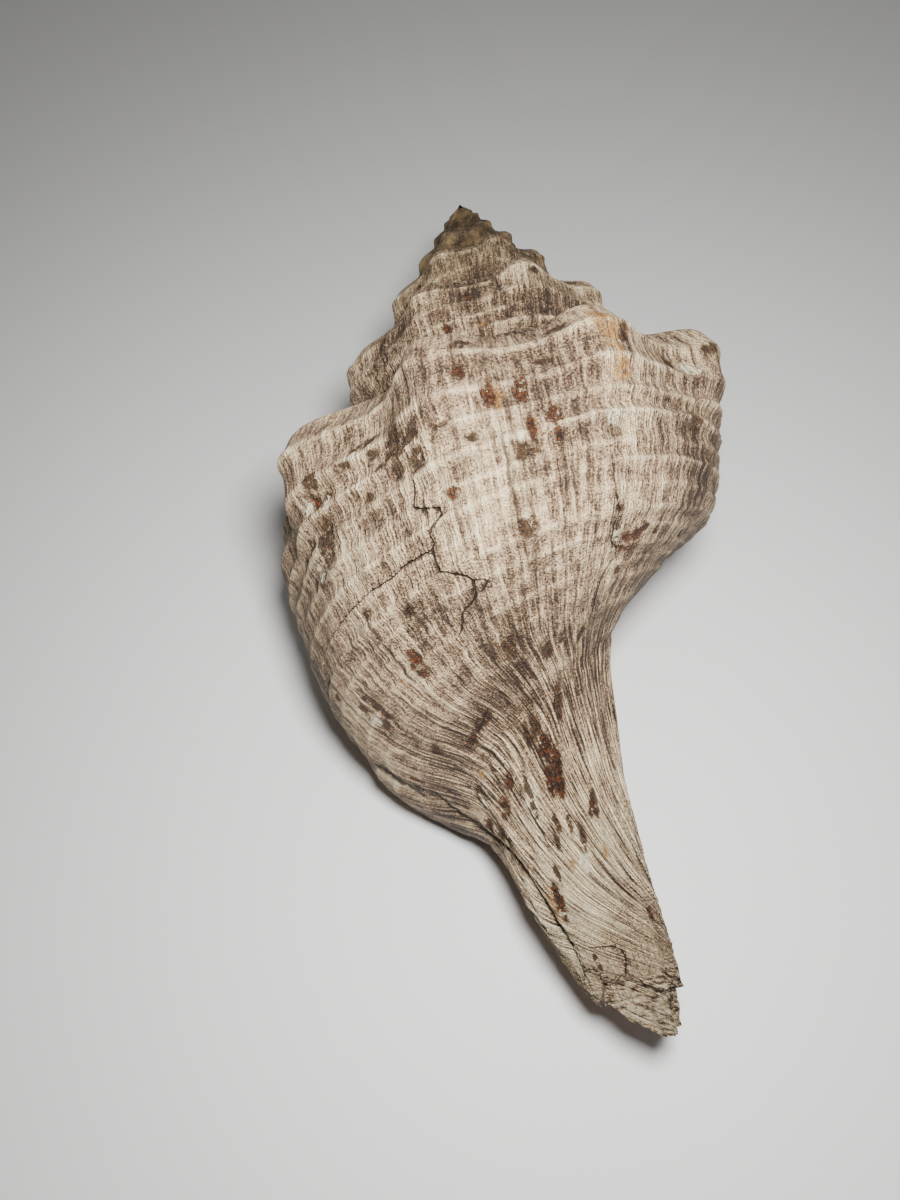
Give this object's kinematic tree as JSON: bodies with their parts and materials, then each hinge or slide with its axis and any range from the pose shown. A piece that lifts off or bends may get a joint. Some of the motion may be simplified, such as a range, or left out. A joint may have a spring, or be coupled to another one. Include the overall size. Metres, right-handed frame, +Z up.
{
  "type": "spindle shell",
  "caption": "Large knobbed right-handed spindle seashell with a pointed spire and a long open canal, lying on its mouth.",
  "frame": {"origin": "centre of the bounding box, on the surface the shell lies on", "axes": "+Z up, +Y from the tip of the canal towards the apex, +X to the right seen from behind the canal"},
  "size_m": [0.1344, 0.2682, 0.1173],
  "materials": {
    "shell": "chalky, weathered shell with raised cords and rust-brown patches, glossy orange inside"
  },
  "bodies": {
    "root": {"shell": "shell"}
  },
  "joints": []
}
